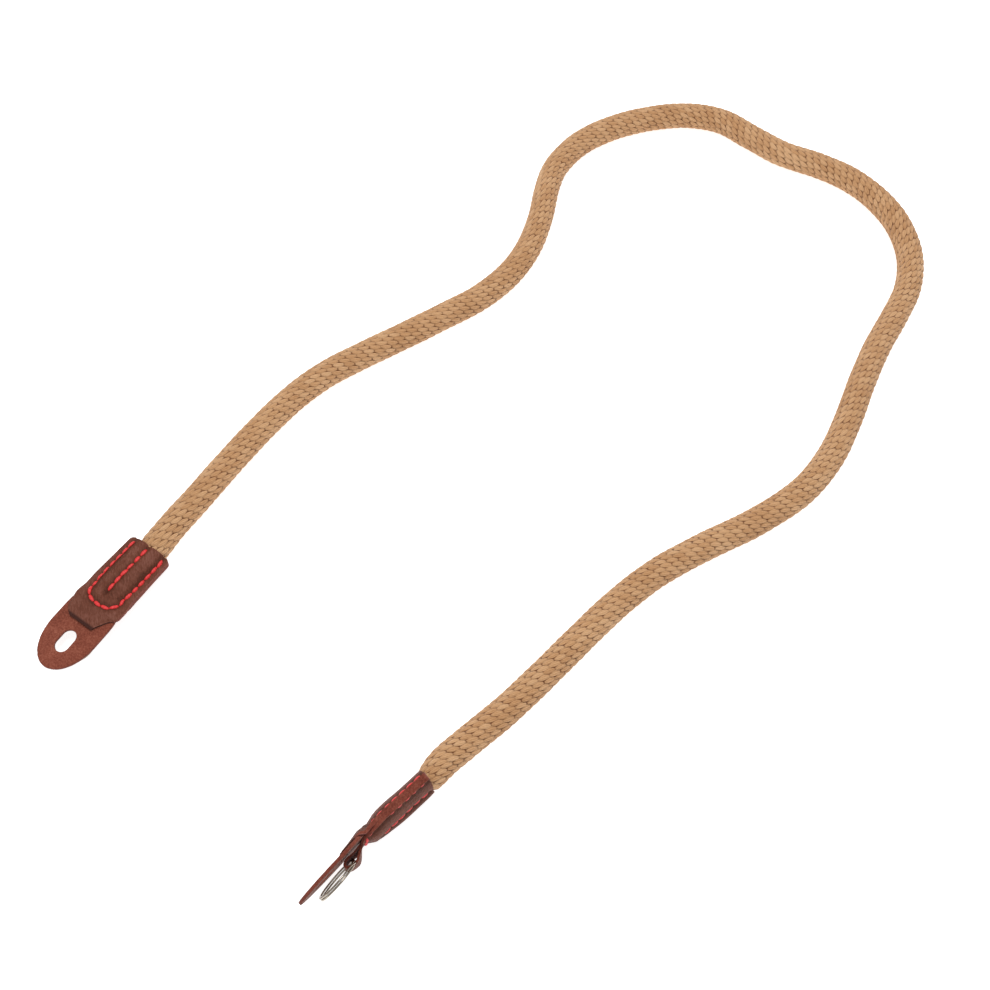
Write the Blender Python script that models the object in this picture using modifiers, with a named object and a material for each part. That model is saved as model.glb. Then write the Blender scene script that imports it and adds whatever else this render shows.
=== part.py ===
"""Camera strap: a braided cotton rope, pressed flat into a stitched leather tab at each end.

Each tab is a front cover, a back cover whose tail turns back as a loop for a split ring, and a
slotted leather guard that keeps the ring off the camera. The strap lies on a flat surface, z = 0,
with its left tab flat and its right tab standing on its edge. Metres, +Z up, the origin midway
between the two tabs.
"""

import math

import bmesh
import bpy
from mathutils import Matrix, Vector

MM = 0.001

# Driving dimensions
ROPE_D = 12.0 * MM
CLEARANCE = 0.3 * MM            # between pieces that touch on the real strap
LEATHER_T = 1.3 * MM            # front cover and guard
TAIL_T = 1.0 * MM               # back cover and its tail
POCKET = 26.5 * MM              # how far the rope's end reaches into the tab
ROPE_SINK = 1.0 * MM            # the pressed rope lies deeper in the back cover than in the front
SIDE_ROOM = 1.0 * MM            # leather that turns up beside the pressed rope
COVER_HALF = 10.1 * MM          # half width of the covers at the rope's side
COVER_LENGTH = 40.4 * MM        # front cover, with its free flap
NECK = 31.0 * MM                # last row of stitches, where all the layers meet
BEND = 21.0 * MM                # from here on the layers lean to the back
LEAN = math.radians(4.8)
GUARD_HALF = 11.2 * MM          # half width of the guard
GUARD_END = 17.0 * MM           # length of the guard's rounded end
GUARD_ASIDE = 0.06 * MM         # how far the guard was sewn off the tab's middle
GUARD_TUCK = 3.0 * MM           # guard held between the covers, behind the neck
TAIL_TUCK = 1.5 * MM            # tail's end held by the stitches, behind the neck
STEP_LENGTH = 4.0 * MM          # over which a cover makes room for the layer below it
STEP_LEAD = 0.5 * MM            # by which that room is there before the layer begins
BULGE_STOP = 1.0 * MM           # the cover's bulge over the rope ends this far behind the neck
GUARD_TIP = 61.6 * MM
SLOT_LENGTH = 9.8 * MM
SLOT_WIDTH = 6.0 * MM
SLOT_TO_TIP = 12.35 * MM        # from the slot's middle
SLOT_ASIDE = -0.02 * MM         # of the slot's middle from the tab's middle
RING_R = 9.0 * MM
RING_WIRE = 1.2 * MM            # radial width of the flat wire
RING_TURN = 0.85 * MM           # thickness of one of the ring's two turns
RING_GROOVE = 0.22 * MM         # dip between the two turns
LEFT_RING_TILT = math.radians(10.0)
RIGHT_RING_TILT = math.radians(7.5)
RIGHT_RING_TWIST = math.radians(-6.6)
LOOP_HALF = 2.7 * MM            # half width of the tail that holds the ring
LOOP_ROOM = 1.7 * MM            # inner radius of the loop's round end
LOOP_REACH = 7.0 * MM           # from the neck to the middle of the loop's round end
RIGHT_ROLL = math.radians(80.5)

# Where each tab's mouth lies, and which way the tab points, seen from above
LEFT_MOUTH = (-72.62 * MM, 32.05 * MM)
LEFT_YAW = math.radians(-86.1)
RIGHT_MOUTH = (76.74 * MM, 28.05 * MM)
RIGHT_YAW = math.radians(-97.7)

# The rope's route from the left mouth to the right one, chosen by hand along its loose bends:
# x and y in millimetres, and the height of its middle as a share of ROPE_D. It lies on the surface
# except beside the tabs.
ROUTE = (
    (-73.6, 45.5, 0.50), (-74.6, 60.0, 0.505), (-76.4, 80.0, 0.505), (-77.7, 102.0, 0.505),
    (-77.5, 122.0, 0.505), (-74.7, 140.0, 0.505), (-68.5, 158.5, 0.505), (-61.3, 177.5, 0.505),
    (-54.1, 197.5, 0.505), (-48.3, 215.0, 0.505), (-46.1, 233.0, 0.505), (-48.3, 251.0, 0.505),
    (-55.1, 269.5, 0.505), (-64.9, 288.5, 0.505), (-69.3, 302.5, 0.505), (-69.0, 320.5, 0.505),
    (-62.7, 338.5, 0.505), (-51.7, 355.5, 0.505), (-38.1, 369.0, 0.505), (-22.6, 376.3, 0.505),
    (-5.1, 376.5, 0.505), (12.9, 376.8, 0.505), (31.4, 381.2, 0.505), (47.9, 382.8, 0.505),
    (63.9, 380.0, 0.505), (79.4, 372.8, 0.505), (93.4, 359.6, 0.505), (102.2, 342.5, 0.505),
    (105.7, 324.0, 0.505), (108.1, 304.5, 0.505), (112.3, 284.0, 0.505), (117.9, 262.0, 0.505),
    (121.5, 240.5, 0.505), (120.5, 219.0, 0.505), (113.2, 195.5, 0.505), (103.2, 173.3, 0.505),
    (94.9, 152.0, 0.505), (90.2, 131.5, 0.505), (87.6, 111.0, 0.505), (85.6, 91.0, 0.515),
    (83.1, 69.5, 0.56), (79.5, 49.0, 0.68), (77.7, 37.5, 0.77),
)
ROPE_STEP = 2.0 * ROPE_D
ROPE_BEVEL_RESOLUTION = 4

# The rope's end, pressed between the covers: place along the pocket as a share of POCKET from its
# mouth, then thickness and width as shares of ROPE_D. Negative places lie outside the mouth.
PRESSED_ROPE = (
    (-0.90, 1.00, 1.00),
    (-0.45, 0.95, 1.02),
    (-0.12, 0.78, 1.06),
    (0.00, 0.54, 1.08),
    (0.25, 0.54, 1.08),
    (0.55, 0.55, 1.06),
    (0.80, 0.50, 1.00),
    (0.93, 0.42, 0.86),
    (1.00, 0.34, 0.72),
)

# Outline of the front cover: place as a share of COVER_LENGTH, then how far it reaches to the
# guard's left and right, as shares of COVER_HALF. Its flap is cut to an uneven point.
FRONT_OUTLINE = (
    (0.000, 0.78, 0.78),
    (0.020, 0.93, 0.93),
    (0.060, 1.00, 1.00),
    (0.250, 1.01, 1.01),
    (0.550, 1.04, 1.05),
    (0.700, 1.07, 1.09),
    (0.767, 1.08, 1.08),
    (0.827, 1.06, 0.95),
    (0.926, 0.92, 0.70),
    (0.970, 0.75, 0.60),
    (1.000, 0.57, 0.56),
)

# Outline of the back cover up to its tail: place as a share of NECK, half width as a share of
# COVER_HALF. Past the last row it is the tail, LOOP_HALF to each side.
BACK_OUTLINE = (
    (0.00, 0.78),
    (0.03, 0.93),
    (0.08, 1.00),
    (0.30, 1.01),
    (0.60, 1.04),
    (0.78, 1.05),
    (0.90, 0.96),
    (0.98, 0.72),
    (1.04, 0.45),
)

# Columns of both covers, from the middle out, as shares of their half width there
COVER_COLUMNS = (0.0, 0.19, 0.36, 0.50, 0.61, 0.70, 0.77, 0.86, 1.0)

# Colours, roughness and metallic of each sub-part's own material
TAN_COTTON = ((0.52, 0.33, 0.17), 0.85, 0.0)
BROWN_LEATHER = ((0.14, 0.06, 0.045), 0.45, 0.0)
RED_SUEDE = ((0.28, 0.10, 0.07), 0.90, 0.0)
NICKEL = ((0.72, 0.70, 0.66), 0.22, 1.0)

FRONT_FULLNESS = 0.66            # lower stands fuller over the rope
BACK_FULLNESS = 0.55
LOOP_ARC_STEPS = 6
LEG_STEPS = 5
RING_STEPS = 36
GUARD_ARC_POINTS = 24
SLOT_ARC_POINTS = 9


def clear_scene():
    """Removes whatever the scene holds."""
    for thing in list(bpy.data.objects):
        bpy.data.objects.remove(thing, do_unlink=True)


def new_collection(name):
    """A collection of that name, linked to the scene."""
    collection = bpy.data.collections.new(name)
    bpy.context.scene.collection.children.link(collection)
    return collection


def new_material(name, look):
    """A Principled BSDF material with a colour, a roughness and a metallic value."""
    colour, roughness, metallic = look
    material = bpy.data.materials.new(name)
    material.use_nodes = True
    shader = material.node_tree.nodes["Principled BSDF"]
    shader.inputs["Base Color"].default_value = (*colour, 1.0)
    shader.inputs["Roughness"].default_value = roughness
    shader.inputs["Metallic"].default_value = metallic
    return material


def smooth_step(x):
    """0 below 0, 1 above 1, and a smooth rise between them."""
    x = min(1.0, max(0.0, x))
    return x * x * (3.0 - 2.0 * x)


def read_table(rows, place, column):
    """One column of a table at a place between its rows, on a smooth line through them."""
    places = [row[0] for row in rows]
    if place <= places[0]:
        return rows[0][column]
    if place >= places[-1]:
        return rows[-1][column]
    low = max(i for i, at in enumerate(places) if at <= place)
    high = low + 1
    share = (place - places[low]) / (places[high] - places[low])
    return rows[low][column] + (rows[high][column] - rows[low][column]) * share


def rope_half_thickness(along):
    """Half the rope's thickness, across the tab's face, at a distance into the pocket."""
    return 0.5 * ROPE_D * read_table(PRESSED_ROPE, along / POCKET, 1)


def rope_half_width(along):
    """Half the rope's width, along the tab's face, at a distance into the pocket."""
    return 0.5 * ROPE_D * read_table(PRESSED_ROPE, along / POCKET, 2)


# Shape of a tab, in its own frame: u runs from the mouth to the tip, v across it, and w stands off
# its face, with w = 0 between the two covers. The front cover and the guard lie at w > 0.

GUARD_START = NECK - GUARD_TUCK
LAYER_W = 0.5 * CLEARANCE                 # face of the first layer, on either side of w = 0
GUARD_TOP_W = LAYER_W + LEATHER_T
FRONT_NECK_W = GUARD_TOP_W + CLEARANCE    # front cover's inner face over the guard
RETURN_W = LAYER_W + TAIL_T               # depth of the tail's end, which the stitches hold
BACK_NECK_W = RETURN_W + CLEARANCE        # back cover's inner face under the tail's end
RETURN_START = NECK - TAIL_TUCK
LOOP_U = NECK + LOOP_REACH                # middle of the loop's round end, the ring's hinge line
LOOP_OUTER = LOOP_ROOM + TAIL_T


def lean(u):
    """How far the layers past the bend lie below the tab's middle plane."""
    return math.tan(LEAN) * max(0.0, u - BEND)


LOOP_W = LAYER_W - lean(LOOP_U) - CLEARANCE - LOOP_OUTER


def cover_face(u, v, base, depth, fullness):
    """Distance from the layers' plane of a cover's inner face: its base beside the rope, and its
    bulge where the rope stands depth off the plane."""
    fade = 1.0 - smooth_step((u - POCKET) / (NECK - POCKET - BULGE_STOP))
    top = base + max(0.0, depth + CLEARANCE - base) * fade
    half = rope_half_width(u) + SIDE_ROOM
    share = min(1.0, abs(v) / half)
    return base + (top - base) * (1.0 - share * share) ** fullness


def front_face(u, v):
    """w of the front cover's inner face."""
    rise = smooth_step((u - GUARD_START + STEP_LEAD + STEP_LENGTH) / STEP_LENGTH)
    base = LAYER_W + (FRONT_NECK_W - LAYER_W) * rise
    depth = rope_half_thickness(u) - ROPE_SINK
    return cover_face(u, v, base, depth, FRONT_FULLNESS) - lean(u)


def back_face(u, v):
    """w of the back cover's inner face."""
    rise = smooth_step((u - RETURN_START + STEP_LEAD + STEP_LENGTH) / STEP_LENGTH)
    base = LAYER_W + (BACK_NECK_W - LAYER_W) * rise
    depth = rope_half_thickness(u) + ROPE_SINK
    return -cover_face(u, v, base, depth, BACK_FULLNESS) - lean(u)


def cover_columns():
    """Places across a cover, from -1 at its left edge to 1 at its right one."""
    return [-t for t in COVER_COLUMNS[:0:-1]] + list(COVER_COLUMNS)


def sheet_object(name, rows, columns, place, thickness, outward, material, collection):
    """A leather sheet: a grid whose corner (row, column) is put at place(row, column), given its
    thickness on one side by Solidify. outward is 1 or -1, the side of the grid's normal."""
    mesh = bpy.data.meshes.new(name)
    shape = bmesh.new()
    bmesh.ops.create_grid(shape, x_segments=rows - 1, y_segments=columns - 1, size=1.0)
    for corner in shape.verts:
        row = round((corner.co.x + 1.0) / 2.0 * (rows - 1))
        column = round((corner.co.y + 1.0) / 2.0 * (columns - 1))
        corner.co = place(row, column)
    shape.to_mesh(mesh)
    shape.free()
    sheet = bpy.data.objects.new(name, mesh)
    collection.objects.link(sheet)
    wall = sheet.modifiers.new("wall", "SOLIDIFY")
    wall.thickness = thickness
    wall.offset = outward
    wall.use_even_offset = True
    finish_piece(sheet, material)
    return sheet


def finish_piece(piece, material):
    """Gives a piece its material and soft shading with sharp cut edges."""
    piece.data.materials.append(material)
    piece.data.shade_smooth()
    piece.data.set_sharp_from_angle(angle=math.radians(40.0))


def front_cover(name, material, collection):
    """The smooth leather over the rope, stitched down and running on as a flap over the guard."""
    stations = [row[0] for row in FRONT_OUTLINE]
    extra = (0.12, 0.19, 0.33, 0.42, 0.49, 0.60, 0.63, 0.665, 0.73, 0.88)
    stations = sorted(set(stations) | set(extra))
    across = cover_columns()

    def place(row, column):
        share, t = stations[row], across[column]
        reach = COVER_HALF * read_table(FRONT_OUTLINE, share, 1 if t < 0.0 else 2)
        u, v = share * COVER_LENGTH, t * reach
        return Vector((u, v, front_face(u, v)))

    return sheet_object(name, len(stations), len(across), place, LEATHER_T, 1.0, material, collection)


def loop_path():
    """Inner line of the tail past the neck, as (u, w): down, round the ring's wire and back up to
    the stitches, under the guard."""
    start = Vector((NECK * BACK_OUTLINE[-1][0], 0.0))
    start.y = back_face(start.x, 0.0)
    bottom = Vector((LOOP_U, LOOP_W - LOOP_ROOM))
    top = Vector((LOOP_U, LOOP_W + LOOP_ROOM))
    end = Vector((RETURN_START, -RETURN_W - lean(RETURN_START)))
    pull = LOOP_U - start.x

    def leg(a, slope_a, b, slope_b, count):
        """Points from a to b, both left out, that leave and arrive along the given slopes."""
        found = []
        for i in range(1, count):
            s = i / count
            h = (2 * s**3 - 3 * s**2 + 1, s**3 - 2 * s**2 + s, -2 * s**3 + 3 * s**2, s**3 - s**2)
            found.append(h[0] * a + h[1] * slope_a + h[2] * b + h[3] * slope_b)
        return found

    sloping = Vector((pull, -pull * math.tan(LEAN)))
    down = leg(start, sloping, bottom, Vector((pull, 0.0)), LEG_STEPS)
    arc = []
    for i in range(LOOP_ARC_STEPS + 1):
        turn = math.pi * (i / LOOP_ARC_STEPS - 0.5)
        arc.append(Vector((LOOP_U + LOOP_ROOM * math.cos(turn), LOOP_W + LOOP_ROOM * math.sin(turn))))
    back = leg(top, Vector((-pull, 0.0)), end, -sloping, LEG_STEPS)
    return down + arc + back + [end]


def back_cover(name, material, collection):
    """The leather under the rope, whose tail turns back round the ring and ends in the seam."""
    stations = [row[0] for row in BACK_OUTLINE]
    extra = (0.15, 0.22, 0.42, 0.52, 0.69, 0.84, 0.87, 0.94)
    stations = sorted(set(stations) | set(extra))
    path = loop_path()
    across = cover_columns()
    rows = len(stations) + len(path)

    def place(row, column):
        t = across[column]
        if row < len(stations):
            u = stations[row] * NECK
            v = t * COVER_HALF * read_table(BACK_OUTLINE, stations[row], 1)
            return Vector((u, v, back_face(u, v)))
        point = path[row - len(stations)]
        return Vector((point.x, t * LOOP_HALF, point.y))

    return sheet_object(name, rows, len(across), place, TAIL_T, -1.0, material, collection)


def guard(name, material, collection):
    """The slotted guard, a flat plate with a round end. Its own origin is on the bend line."""
    outline = [(GUARD_START, -0.87 * GUARD_HALF), (NECK, -GUARD_HALF)]
    centre = GUARD_TIP - GUARD_END
    for i in range(GUARD_ARC_POINTS + 1):
        turn = math.pi * (i / GUARD_ARC_POINTS - 0.5)
        outline.append((centre + GUARD_END * math.cos(turn), GUARD_HALF * math.sin(turn)))
    outline += [(NECK, GUARD_HALF), (GUARD_START, 0.87 * GUARD_HALF)]
    outline = [(u, v + GUARD_ASIDE) for u, v in outline]
    slot = []
    end_r = 0.5 * SLOT_WIDTH
    for side in (1.0, -1.0):
        middle = GUARD_TIP - SLOT_TO_TIP + side * (0.5 * SLOT_LENGTH - end_r)
        for i in range(SLOT_ARC_POINTS + 1):
            turn = math.pi * (i / SLOT_ARC_POINTS - 0.5)
            slot.append((middle + side * end_r * math.cos(turn), SLOT_ASIDE + side * end_r * math.sin(turn)))
    flat = bpy.data.curves.new(name + "_outline", "CURVE")
    flat.dimensions = "2D"
    flat.fill_mode = "BOTH"
    flat.extrude = 0.5 * LEATHER_T
    for points in (outline, slot):
        line = flat.splines.new("POLY")
        line.points.add(len(points) - 1)
        for point, (u, v) in zip(line.points, points):
            point.co = (u - BEND, v, 0.0, 1.0)
        line.use_cyclic_u = True
    drawn = bpy.data.objects.new(name + "_outline", flat)
    collection.objects.link(drawn)
    shape = curve_shape(drawn)
    bmesh.ops.translate(shape, verts=shape.verts, vec=(0.0, 0.0, 0.5 * LEATHER_T))
    mesh = bpy.data.meshes.new(name)
    shape.to_mesh(mesh)
    shape.free()
    plate = bpy.data.objects.new(name, mesh)
    collection.objects.link(plate)
    finish_piece(plate, material)
    plate.location = (BEND, 0.0, LAYER_W)
    plate.rotation_euler = (0.0, LEAN, 0.0)
    return plate


def curve_shape(drawn):
    """A curve object's evaluated shape as a welded bmesh. The curve is removed."""
    bpy.context.view_layer.update()
    evaluated = drawn.evaluated_get(bpy.context.evaluated_depsgraph_get())
    mesh = bpy.data.meshes.new_from_object(evaluated)
    shape = bmesh.new()
    shape.from_mesh(mesh)
    bmesh.ops.remove_doubles(shape, verts=shape.verts, dist=0.001 * MM)
    bmesh.ops.recalc_face_normals(shape, faces=shape.faces)
    bpy.data.meshes.remove(mesh)
    curve = drawn.data
    bpy.data.objects.remove(drawn, do_unlink=True)
    bpy.data.curves.remove(curve)
    return shape


def split_ring(name, material, collection):
    """The split ring's two flat turns, turned as one profile with a dip between them."""
    inner, outer = RING_R - RING_WIRE, RING_R
    chamfer = 0.25 * RING_TURN
    half = RING_TURN
    profile = [
        (outer - chamfer, half), (outer, half - chamfer), (outer, chamfer), (outer - RING_GROOVE, 0.0),
        (outer, -chamfer), (outer, chamfer - half), (outer - chamfer, -half),
        (inner + chamfer, -half), (inner, chamfer - half), (inner, half - chamfer), (inner + chamfer, half),
    ]
    mesh = bpy.data.meshes.new(name)
    shape = bmesh.new()
    corners = [shape.verts.new((radius, 0.0, height)) for radius, height in profile]
    for a, b in zip(corners, corners[1:] + corners[:1]):
        shape.edges.new((a, b))
    shape.to_mesh(mesh)
    shape.free()
    ring = bpy.data.objects.new(name, mesh)
    collection.objects.link(ring)
    turned = ring.modifiers.new("turned", "SCREW")
    turned.axis = "Z"
    turned.angle = math.tau
    turned.screw_offset = 0.0
    turned.steps = RING_STEPS
    turned.render_steps = RING_STEPS
    turned.use_merge_vertices = True
    turned.merge_threshold = 0.01 * MM
    turned.use_smooth_shade = True
    mesh.materials.append(material)
    return ring


def tab_frame(name, mouth, yaw, roll, pitch, collection):
    """An empty at a tab's mouth: u along its X, v along its Y and w along its Z."""
    frame = bpy.data.objects.new(name, None)
    frame.empty_display_size = 0.5 * COVER_HALF
    frame.rotation_mode = "XYZ"
    turn = Matrix.Rotation(yaw, 4, "Z") @ Matrix.Rotation(-pitch, 4, "Y") @ Matrix.Rotation(roll, 4, "X")
    frame.matrix_world = Matrix.Translation((mouth[0], mouth[1], 0.0)) @ turn
    collection.objects.link(frame)
    return frame


def make_tab(side, mouth, yaw, roll, pitch, ring_turn, looks, collection):
    """One tab with its guard and ring, lowered onto the surface. Gives back its frame."""
    frame = tab_frame(side + "_tab", mouth, yaw, roll, pitch, collection)
    pieces = [
        front_cover(side + "_front_cover", looks["leather"], collection),
        back_cover(side + "_back_cover", looks["leather"], collection),
        guard(side + "_guard", looks["suede"], collection),
        split_ring(side + "_split_ring", looks["nickel"], collection),
    ]
    hinge = bpy.data.objects.new(side + "_ring_hinge", None)
    hinge.empty_display_size = LOOP_HALF
    collection.objects.link(hinge)
    hinge.parent = frame
    hinge.location = (LOOP_U, 0.0, LOOP_W)
    tilt, twist = ring_turn
    hinge.rotation_euler = (0.0, tilt, 0.0)
    for piece in pieces[:-1]:
        piece.parent = frame
    pieces[-1].parent = hinge
    pieces[-1].location = (RING_R - 0.5 * RING_WIRE, 0.0, 0.0)
    pieces[-1].rotation_euler = (twist, 0.0, 0.0)
    bpy.context.view_layer.update()
    graph = bpy.context.evaluated_depsgraph_get()
    lowest = math.inf
    for piece in pieces:
        evaluated = piece.evaluated_get(graph)
        for corner in evaluated.data.vertices:
            lowest = min(lowest, (evaluated.matrix_world @ corner.co).z)
    frame.location.z -= lowest
    bpy.context.view_layer.update()
    return frame


def smooth_route(points, step):
    """Points about a step apart along a smooth curve through the given ones."""
    found = []
    for i in range(len(points) - 1):
        a, b = points[i], points[i + 1]
        before = points[i - 1] if i > 0 else 2.0 * a - b
        after = points[i + 2] if i + 2 < len(points) else 2.0 * b - a
        for j in range(20):
            s = j / 20.0
            bend = (2.0 * before - 5.0 * a + 4.0 * b - after) * s * s
            bend += (3.0 * a - before - 3.0 * b + after) * s**3
            found.append(a + 0.5 * ((b - before) * s + bend))
    found.append(points[-1])
    lengths = [0.0]
    for a, b in zip(found, found[1:]):
        lengths.append(lengths[-1] + (b - a).length)
    count = max(2, round(lengths[-1] / step))
    spaced = []
    for k in range(count + 1):
        wanted = lengths[-1] * k / count
        i = next(n for n, length in enumerate(lengths) if length >= wanted - 1e-9)
        if i == 0:
            spaced.append(found[0])
            continue
        share = (wanted - lengths[i - 1]) / (lengths[i] - lengths[i - 1])
        spaced.append(found[i - 1].lerp(found[i], share))
    return spaced


def pocket_points(frame):
    """Middle of the rope's end inside a tab, from the pocket's bottom out to its mouth."""
    inside = []
    for share in (1.0, 0.93, 0.80, 0.55, 0.25, 0.0):
        u = share * POCKET
        inside.append(frame.matrix_world @ Vector((u, 0.0, -ROPE_SINK - lean(u))))
    return inside


def rope(left, right, material, collection):
    """The rope: a round tube along the route, with both ends pressed flat inside the tabs."""
    route = [Vector((x * MM, y * MM, height * ROPE_D)) for x, y, height in ROUTE]
    left_inside = pocket_points(left)
    right_inside = pocket_points(right)[::-1]
    free = smooth_route([left_inside[-1]] + route + [right_inside[0]], ROPE_STEP)
    near_left = smooth_route(free[:2], 0.25 * ROPE_STEP)[1:-1]
    near_right = smooth_route(free[-2:], 0.25 * ROPE_STEP)[1:-1]
    centres = left_inside + near_left + free[1:-1] + near_right + right_inside
    curve = bpy.data.curves.new("rope_line", "CURVE")
    curve.dimensions = "3D"
    curve.bevel_depth = 0.5 * ROPE_D
    curve.bevel_resolution = ROPE_BEVEL_RESOLUTION
    curve.use_fill_caps = True
    line = curve.splines.new("POLY")
    line.points.add(len(centres) - 1)
    for point, centre in zip(line.points, centres):
        point.co = (*centre, 1.0)
    drawn = bpy.data.objects.new("rope_line", curve)
    collection.objects.link(drawn)
    shape = curve_shape(drawn)
    for frame in (left, right):
        press_rope_end(shape, frame, centres)
    mesh = bpy.data.meshes.new("rope")
    shape.to_mesh(mesh)
    shape.free()
    made = bpy.data.objects.new("rope", mesh)
    collection.objects.link(made)
    finish_piece(made, material)
    return made


def press_rope_end(shape, frame, centres):
    """Flattens the rope across a tab's face, and widens it along the face, near that tab."""
    matrix = frame.matrix_world
    inverse = matrix.inverted()
    across = matrix.to_3x3() @ Vector((0.0, 1.0, 0.0))
    face = matrix.to_3x3() @ Vector((0.0, 0.0, 1.0))
    reach = -PRESSED_ROPE[0][0] * POCKET
    for corner in shape.verts:
        centre = min(centres, key=lambda c: (c - corner.co).length_squared)
        along = (inverse @ centre).x
        if along < -reach or (inverse @ centre).length > 2.0 * POCKET:
            continue
        offset = corner.co - centre
        thin = rope_half_thickness(along) / (0.5 * ROPE_D) - 1.0
        wide = rope_half_width(along) / (0.5 * ROPE_D) - 1.0
        corner.co += face * offset.dot(face) * thin + across * offset.dot(across) * wide


def build():
    """Makes the whole strap."""
    clear_scene()
    strap = new_collection("camera_strap")
    looks = {
        "cotton": new_material("tan_cotton", TAN_COTTON),
        "leather": new_material("brown_leather", BROWN_LEATHER),
        "suede": new_material("red_suede", RED_SUEDE),
        "nickel": new_material("nickel", NICKEL),
    }
    # The left tab lies on its pocket and its loop, the right one stands on cover and guard edge
    belly = 0.55 * POCKET
    pocket_depth = rope_half_thickness(belly) + ROPE_SINK + CLEARANCE + TAIL_T
    left_pitch = math.atan2(LOOP_OUTER - LOOP_W - pocket_depth, LOOP_U - belly)
    guard_edge = GUARD_HALF - GUARD_ASIDE - COVER_HALF
    right_pitch = math.atan2(guard_edge * math.sin(RIGHT_ROLL), NECK)
    left_ring = (LEFT_RING_TILT, 0.0)
    right_ring = (RIGHT_RING_TILT, RIGHT_RING_TWIST)
    left = make_tab("left", LEFT_MOUTH, LEFT_YAW, 0.0, left_pitch, left_ring, looks, strap)
    right = make_tab("right", RIGHT_MOUTH, RIGHT_YAW, RIGHT_ROLL, right_pitch, right_ring, looks, strap)
    rope(left, right, looks["cotton"], strap)


build()
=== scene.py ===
"""Looks of the camera strap: braided cotton rope, stitched leather tabs, split rings, floor and light."""

import math

import bmesh
import bpy
import numpy as np
from mathutils import Matrix, Vector


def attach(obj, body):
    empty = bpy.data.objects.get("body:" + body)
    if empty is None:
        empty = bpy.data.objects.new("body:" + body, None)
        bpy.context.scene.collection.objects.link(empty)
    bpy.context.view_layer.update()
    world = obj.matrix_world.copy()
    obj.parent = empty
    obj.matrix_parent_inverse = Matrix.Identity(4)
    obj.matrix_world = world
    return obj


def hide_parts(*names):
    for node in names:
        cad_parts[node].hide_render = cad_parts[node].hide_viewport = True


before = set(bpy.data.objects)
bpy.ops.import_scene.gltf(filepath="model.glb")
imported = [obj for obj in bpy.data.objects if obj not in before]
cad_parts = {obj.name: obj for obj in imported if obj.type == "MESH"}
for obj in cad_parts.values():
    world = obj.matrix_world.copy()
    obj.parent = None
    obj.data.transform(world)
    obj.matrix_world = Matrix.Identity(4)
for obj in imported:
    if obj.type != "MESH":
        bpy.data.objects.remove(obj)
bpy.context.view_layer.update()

MM = 0.001

# Sizes that the strap's solids have too
ROPE_D = 12.0 * MM
CLEARANCE = 0.3 * MM
LEATHER_T = 1.3 * MM
TAIL_T = 1.0 * MM
POCKET = 26.5 * MM
ROPE_SINK = 1.0 * MM
SIDE_ROOM = 1.0 * MM
COVER_HALF = 10.1 * MM
COVER_LENGTH = 40.4 * MM
NECK = 31.0 * MM
BEND = 21.0 * MM
LEAN = math.radians(4.8)
GUARD_HALF = 11.2 * MM
GUARD_END = 17.0 * MM
GUARD_ASIDE = 0.06 * MM
GUARD_TIP = 61.6 * MM
TAIL_TUCK = 1.5 * MM
STEP_LENGTH = 4.0 * MM
STEP_LEAD = 0.5 * MM
BULGE_STOP = 1.0 * MM
SLOT_LENGTH = 9.8 * MM
SLOT_WIDTH = 6.0 * MM
SLOT_TO_TIP = 12.35 * MM
SLOT_ASIDE = -0.02 * MM
RING_R = 9.0 * MM
RING_WIRE = 1.2 * MM
RING_TURN = 0.85 * MM
RING_SLACK = {"left": 0.0, "right": -3.0}  # degrees that the ring turns further in its loop
RING_START = {"left": 205.0, "right": 140.0}  # degrees round the ring at which its wire starts
RING_FLAT = 0.80  # height of the wire, as a share of RING_TURN
RING_SWEEP = 2.0 * math.tau - math.radians(4.0)
RING_STEPS = 200
RING_SHOULDER = 0.26  # how much of the wire's flats its corners take
RING_OVER = (math.radians(22.0), math.radians(40.0))  # its step onto the next turn: lead, length
LOOP_HALF = 2.7 * MM
LOOP_ROOM = 1.7 * MM
LOOP_REACH = 7.0 * MM
FRONT_FULLNESS = 0.66
BACK_FULLNESS = 0.55

# Each tab's mouth, then its yaw, pitch and roll, and its ring's tilt and twist, in degrees
TABS = {
    "left": ((-72.62 * MM, 32.05 * MM, 5.532 * MM), -86.1, -3.36545, 0.0, 10.0, 0.0),
    "right": ((76.74 * MM, 28.05 * MM, 10.070 * MM), -97.7, -1.89514, 80.5, 7.5, -6.6),
}

# The rope's route: x and y in millimetres, and its middle's heights as shares of its diameter
ROUTE = (
    (-73.6, 45.5), (-74.6, 60.0), (-76.4, 80.0), (-77.7, 102.0), (-77.5, 122.0), (-74.7, 140.0),
    (-68.5, 158.5), (-61.3, 177.5), (-54.1, 197.5), (-48.3, 215.0), (-46.1, 233.0), (-48.3, 251.0),
    (-55.1, 269.5), (-64.9, 288.5), (-69.3, 302.5), (-69.0, 320.5), (-62.7, 338.5), (-51.7, 355.5),
    (-38.1, 369.0), (-22.6, 376.3), (-5.1, 376.5), (12.9, 376.8), (31.4, 381.2), (47.9, 382.8),
    (63.9, 380.0), (79.4, 372.8), (93.4, 359.6), (102.2, 342.5), (105.7, 324.0), (108.1, 304.5),
    (112.3, 284.0), (117.9, 262.0), (121.5, 240.5), (120.5, 219.0), (113.2, 195.5), (103.2, 173.3),
    (94.9, 152.0), (90.2, 131.5), (87.6, 111.0), (85.6, 91.0), (83.1, 69.5), (79.5, 49.0), (77.7, 37.5),
)
ROUTE_HEIGHTS = (0.50,) + 38 * (0.505,) + (0.515, 0.56, 0.68, 0.77)

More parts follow.
